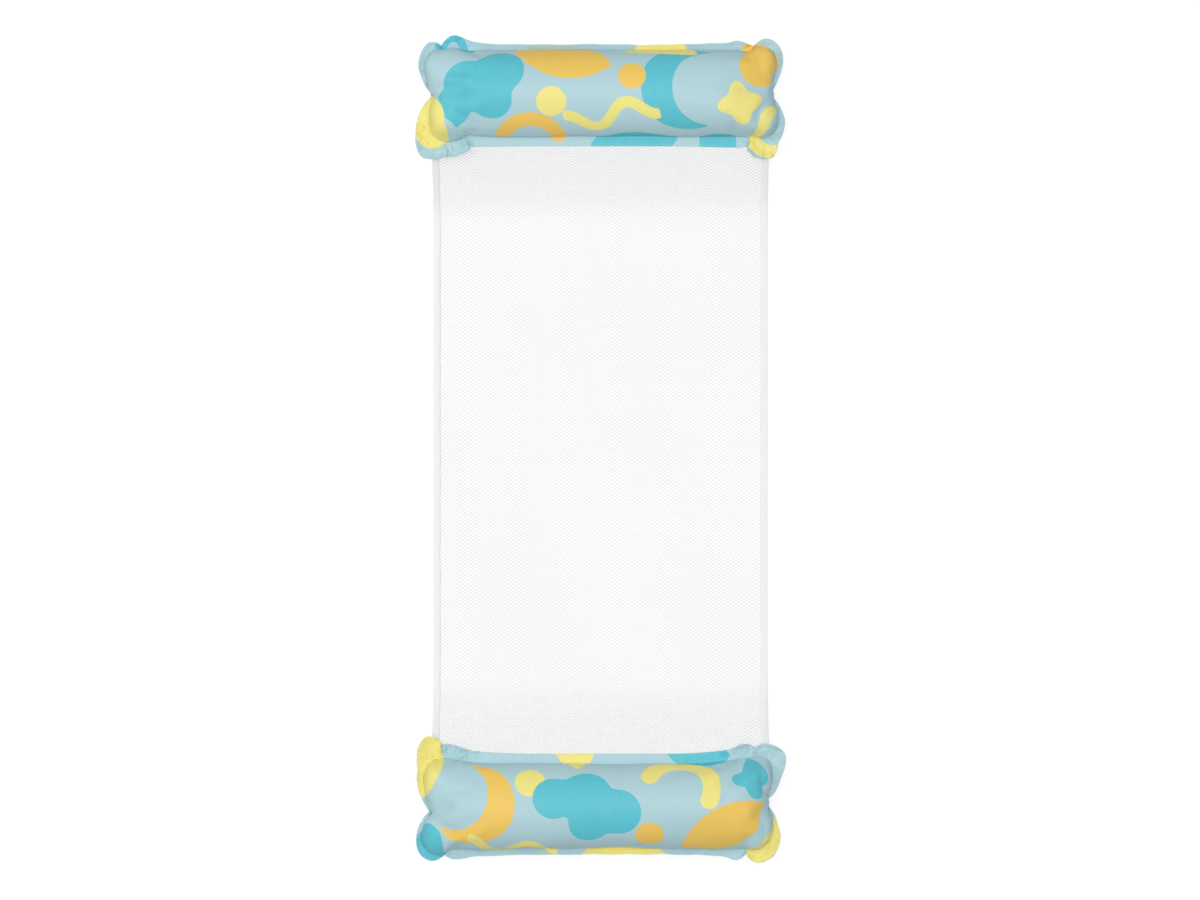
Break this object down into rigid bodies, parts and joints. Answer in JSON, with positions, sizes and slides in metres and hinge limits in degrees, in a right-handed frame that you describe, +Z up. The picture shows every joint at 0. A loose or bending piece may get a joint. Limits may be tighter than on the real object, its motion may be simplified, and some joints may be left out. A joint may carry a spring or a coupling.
{
  "type": "water hammock",
  "caption": "Floating water hammock: a long net panel with an inflated, fabric-covered pillow at each end that folds at its seam and fills through a push-in valve.",
  "frame": {"origin": "on the floor, midway between the pillows", "axes": "+X across the hammock, +Y from the foot pillow to the head pillow, +Z up"},
  "size_m": [0.593, 1.325, 0.126],
  "materials": {
    "cover_fabric": "smooth printed polyester over an air bladder",
    "net_mesh": "white knitted polyester net with staggered rounded openings",
    "edge_tape": "plain woven binding tape",
    "bladder_film": "clear soft vinyl film",
    "valve_vinyl": "clear soft vinyl moulding",
    "plug_vinyl": "turquoise soft vinyl moulding"
  },
  "bodies": {
    "net": {"net_panel": "net_mesh", "left_edge_tape": "edge_tape", "right_edge_tape": "edge_tape"},
    "head_pillow": {"head_cover_upper": "cover_fabric", "head_cover_lower": "cover_fabric", "head_bladder_upper": "bladder_film", "head_bladder_lower": "bladder_film", "head_net_hem": "net_mesh", "head_valve_base": "valve_vinyl"},
    "head_valve": {"head_valve_stem": "valve_vinyl", "head_plug_strap": "plug_vinyl"},
    "head_plug": {"head_valve_plug": "plug_vinyl"},
    "head_flap": {"head_valve_flap": "valve_vinyl"},
    "foot_pillow": {"foot_cover_upper": "cover_fabric", "foot_cover_lower": "cover_fabric", "foot_bladder_upper": "bladder_film", "foot_bladder_lower": "bladder_film", "foot_net_hem": "net_mesh", "foot_valve_base": "valve_vinyl"},
    "foot_valve": {"foot_valve_stem": "valve_vinyl", "foot_plug_strap": "plug_vinyl"},
    "foot_plug": {"foot_valve_plug": "plug_vinyl"},
    "foot_flap": {"foot_valve_flap": "valve_vinyl"}
  },
  "joints": [
    {"name": "head_pillow_fold", "type": "hinge", "parent": "net", "child": "head_pillow", "pos_m": [0, 0.4855, 0.063], "axis": [1, 0, 0], "range_deg": [0, 150]},
    {"name": "head_valve_push", "type": "slide", "parent": "head_pillow", "child": "head_valve", "axis": [0, -0.853, 0.5219], "range_m": [0, 0.0114]},
    {"name": "head_plug_pull", "type": "slide", "parent": "head_valve", "child": "head_plug", "axis": [0, 0.853, -0.5219], "range_m": [0, 0.009], "deforming": ["head_plug_strap"]},
    {"name": "head_flap_swing", "type": "hinge", "parent": "head_valve", "child": "head_flap", "pos_m": [0.12, 0.61647, 0.03948], "axis": [-1, 0, 0], "range_deg": [0, 60], "stiffness_Nm_per_rad": 0.0005, "springref_deg": -5.73},
    {"name": "foot_pillow_fold", "type": "hinge", "parent": "net", "child": "foot_pillow", "pos_m": [0, -0.4855, 0.063], "axis": [-1, 0, 0], "range_deg": [0, 150]},
    {"name": "foot_valve_push", "type": "slide", "parent": "foot_pillow", "child": "foot_valve", "axis": [0, 0.853, 0.5219], "range_m": [0, 0.0114]},
    {"name": "foot_plug_pull", "type": "slide", "parent": "foot_valve", "child": "foot_plug", "axis": [0, -0.853, -0.5219], "range_m": [0, 0.009], "deforming": ["foot_plug_strap"]},
    {"name": "foot_flap_swing", "type": "hinge", "parent": "foot_valve", "child": "foot_flap", "pos_m": [0.12, -0.61647, 0.03948], "axis": [1, 0, 0], "range_deg": [0, 60], "stiffness_Nm_per_rad": 0.0005, "springref_deg": -5.73}
  ]
}
